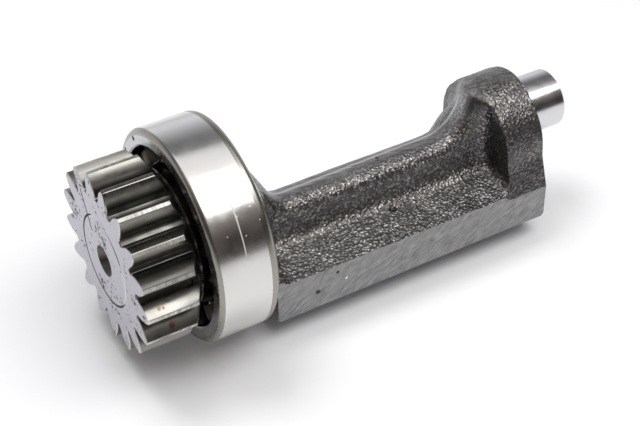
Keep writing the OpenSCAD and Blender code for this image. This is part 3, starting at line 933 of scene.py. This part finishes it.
OUTSIDE, SIDE, RACE, CORNER, PUNCHED = range(5)
RING_FINISHES = [
    handled_ring_steel(),
    # Lapped sides: an even pale satin
    turned_steel("bearing_steel_satin_side", "#bebdbf", rough=(0.24, 0.34), line=0.4, depth=0.01),
    # Honed race under oil: dark and glossy
    turned_steel("bearing_steel_oiled_race", "#8d8a82", rough=(0.16, 0.26), line=0.3, depth=0.005),
    # Corners that no wheel reached: a warmer, duller grey
    turned_steel("bearing_steel_unground_corner", "#9a988f", rough=(0.24, 0.34), line=0.5, depth=0.02),
    GRIME_AND_SHADE,
]


def bearing_ring(name, fitted, land, way):
    """A bearing ring with round corners on its fitted side and a ball groove on the other."""
    lip = math.degrees(math.asin((land - PITCH_R) / GROOVE_R))
    face = fitted - way * RING_CORNER
    flat_x = RING_BACK - RING_CORNER
    # The wheel stops short of the rear corner
    stop = flat_x - 0.7
    profile = (arc(flat_x, face, RING_CORNER, 90 * way, 0, CORNER_STEPS)
               + [(RING_BACK, land + way * RING_EDGE), (RING_BACK - RING_EDGE, land)]
               + arc(0, PITCH_R, GROOVE_R, lip, way * 180 - lip, GROOVE_STEPS)
               + [(RING_FRONT + RING_EDGE, land), (RING_FRONT, land + way * RING_EDGE)]
               + arc(-flat_x, face, RING_CORNER, 180, 180 - 90 * way, CORNER_STEPS)
               + [(stop, fitted)])
    bm = spun(profile, RING_STEPS, ring=True)

    def finish(x, r):
        if abs(r - fitted) < 0.1 and x < stop:
            return OUTSIDE
        if way * (r - face) > 0 and not -flat_x < x < stop:
            return CORNER
        return SIDE if way * (r - land) > 0.02 and abs(x) > GROOVE_R else RACE

    set_finish(bm, finish)
    obj = to_object(name, bm, RING_FINISHES)
    shade(obj, 30)
    return obj


def punch_dot(angle, radius):
    """A short pin that punches a dot into the front face of the outer ring."""
    bm = bmesh.new()
    bmesh.ops.create_cone(bm, cap_ends=True, segments=24, radius1=radius * MM, radius2=radius * MM,
                          depth=2 * PUNCH_DEPTH * MM)
    turn = math.radians(angle)
    place = Vector((RING_FRONT, PUNCH_CIRCLE_R * math.cos(turn), PUNCH_CIRCLE_R * math.sin(turn))) * MM
    bmesh.ops.transform(bm, matrix=Matrix.Translation(place) @ Matrix.Rotation(math.pi / 2, 4, "Y"),
                        verts=bm.verts)
    # The dot takes the near black that stands for the shade inside it
    for face in bm.faces:
        face.material_index = PUNCHED
    return to_object("punch", bm, RING_FINISHES)


# Pieces made anew, on their bodies

shaft = balance_shaft()
shaft.name = "shaft_forged_and_machined"
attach(shaft, "shaft")
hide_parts("balance_shaft")

gear = drive_gear()
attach(gear, "shaft")
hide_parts("drive_gear")

outer = bearing_ring("outer_ring_polished", RING_R, OUTER_LAND_R, 1)
for angle, radius in PUNCH_DOTS:
    combine(outer, punch_dot(angle, radius), "DIFFERENCE")
shade(outer, 30)
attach(outer, "outer_ring")
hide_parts("bearing_outer_ring")

inner = bearing_ring("inner_ring_ground", BEARING_SEAT_R, INNER_LAND_R, -1)
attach(inner, "shaft")
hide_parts("bearing_inner_ring")


# CAD nodes that stay: the cage with its rivets, and the balls

# Pressed strip under old oil: dark, with a dull gloss
CAGE = turned_steel("cage_steel_pressed_and_oily", "#4a4640", rough=(0.26, 0.42), line=0.8, depth=0.02)
# Lapped balls: a clear mirror
BALL = turned_steel("ball_steel_polished", "#b9b8b5", rough=(0.08, 0.16), line=0.6, depth=0.002)
for name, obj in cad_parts.items():
    if name.startswith("cage"):
        obj.data.materials.clear()
        obj.data.materials.append(CAGE)
    elif name.startswith("ball_"):
        obj.data.materials.clear()
        obj.data.materials.append(BALL)


# Studio and camera

def table():
    """A white laminate table under the weight."""
    bm = bmesh.new()
    bmesh.ops.create_grid(bm, x_segments=1, y_segments=1, size=2.5)
    bmesh.ops.translate(bm, vec=(0, 0, -WEIGHT_R * MM), verts=bm.verts)
    material, tree, shader, place = surface("table_white_laminate", metallic=0.0)
    # Light of its own, for the camera and for reflections, takes the table to white, more so far back
    path = add(tree, "LightPath")
    seen = add(tree, "Math", {0: path.outputs["Is Camera Ray"], 1: path.outputs["Is Glossy Ray"]},
               operation="MAXIMUM")
    spot = add(tree, "SeparateXYZ", {0: place})
    far = add(tree, "MapRange", {"Value": spot.outputs["Y"], "From Min": 0.1, "From Max": 0.6,
                                 "To Min": 0.02, "To Max": 0.2})
    glow = add(tree, "Math", {0: seen, 1: far}, operation="MULTIPLY")
    feed(tree, shader, {"Base Color": hex_colour("#eff0f2"), "Roughness": 0.6,
                        "Emission Color": (1, 1, 1, 1), "Emission Strength": glow})
    to_object("table", bm, [material])


def softbox(name, size, radiance, lean, turn):
    """An elliptic lamp 0.6 m away that leans from straight up towards the near side and turns about Z."""
    away = 0.6
    length, width = size
    tilt, swing = math.radians(lean), math.radians(turn)
    lamp = bpy.data.lights.new(name, "AREA")
    lamp.shape = "ELLIPSE"
    lamp.size = length
    lamp.size_y = width
    # The watts that give this radiance all over the ellipse
    lamp.energy = radiance * math.pi * math.pi * length * width / 4
    obj = bpy.data.objects.new(name, lamp)
    way = Vector((math.sin(tilt) * math.sin(swing), -math.sin(tilt) * math.cos(swing), math.cos(tilt)))
    along = (Vector((1, 0, 0)) - way * way.x).normalized()
    obj.matrix_world = Matrix((along, way.cross(along), way)).transposed().to_4x4()
    obj.location = way * away
    bpy.context.scene.collection.objects.link(obj)
    return obj


def room():
    """A white wall behind the part and a dark warm room in front of it."""
    world = bpy.data.worlds.new("room")
    bpy.context.scene.world = world
    world.use_nodes = True
    tree = world.node_tree
    way = add(tree, "SeparateXYZ", {0: add(tree, "TexCoord").outputs["Generated"]})
    behind = add(tree, "MapRange", {"Value": way.outputs["Y"], "From Min": -0.2, "From Max": 0.5},
                 interpolation_type="SMOOTHSTEP")
    wall = add(tree, "MapRange", {"Value": way.outputs["Z"], "From Min": 0.2, "From Max": 0.68,
                                  "To Min": 0.9, "To Max": 0.18})
    front = add(tree, "MapRange", {"Value": way.outputs["Z"], "From Min": 0.3, "From Max": 0.8,
                                   "To Min": 0.045, "To Max": 0.26})
    level = add(tree, "Mix", {FACTOR: behind, NUMBER_A: front, NUMBER_B: wall})
    tint = add(tree, "Mix", {FACTOR: behind, COLOUR_A: (1.14, 0.98, 0.88, 1),
                             COLOUR_B: (0.98, 0.99, 1.03, 1)}, data_type="RGBA")
    feed(tree, tree.nodes["Background"], {"Strength": level, "Color": tint})


def camera():
    """The photograph's viewpoint: 84 mm lens, 0.36 m away, 39 degrees up."""
    aim = Vector((32.694, 0, -9.83))
    distance = 364.233
    turn, rise, roll = math.radians(-30.242), math.radians(39.045), math.radians(-0.683)
    back = Vector((math.sin(turn) * math.cos(rise), -math.cos(turn) * math.cos(rise), math.sin(rise)))
    right = (-back).cross(Vector((0, 0, 1))).normalized()
    up = right.cross(-back)
    across = math.cos(roll) * right + math.sin(roll) * up
    upward = math.cos(roll) * up - math.sin(roll) * right
    data = bpy.data.cameras.new("camera")
    data.sensor_width = 36
    data.lens = 84.2
    data.clip_start = 0.01
    obj = bpy.data.objects.new("camera", data)
    place = Matrix((across, upward, back)).transposed().to_4x4()
    place.translation = (aim + distance * back) * MM
    obj.matrix_world = place
    bpy.context.scene.collection.objects.link(obj)
    bpy.context.scene.camera = obj


table()
# A wide round lamp overhead, and a longer, brighter one on its near side and further back along the shaft
softbox("softbox_wide", (0.86, 0.86), radiance=0.9, lean=8, turn=20)
softbox("softbox_near", (0.56, 0.36), radiance=3.3, lean=30, turn=38)
# A fill from the far side for the table: it is hidden from reflections, so metal doesn't show it
fill = softbox("softbox_fill", (0.28, 0.28), radiance=8.0, lean=-18, turn=20)
fill.visible_glossy = False
room()
camera()
bpy.context.scene.view_settings.view_transform = "Standard"
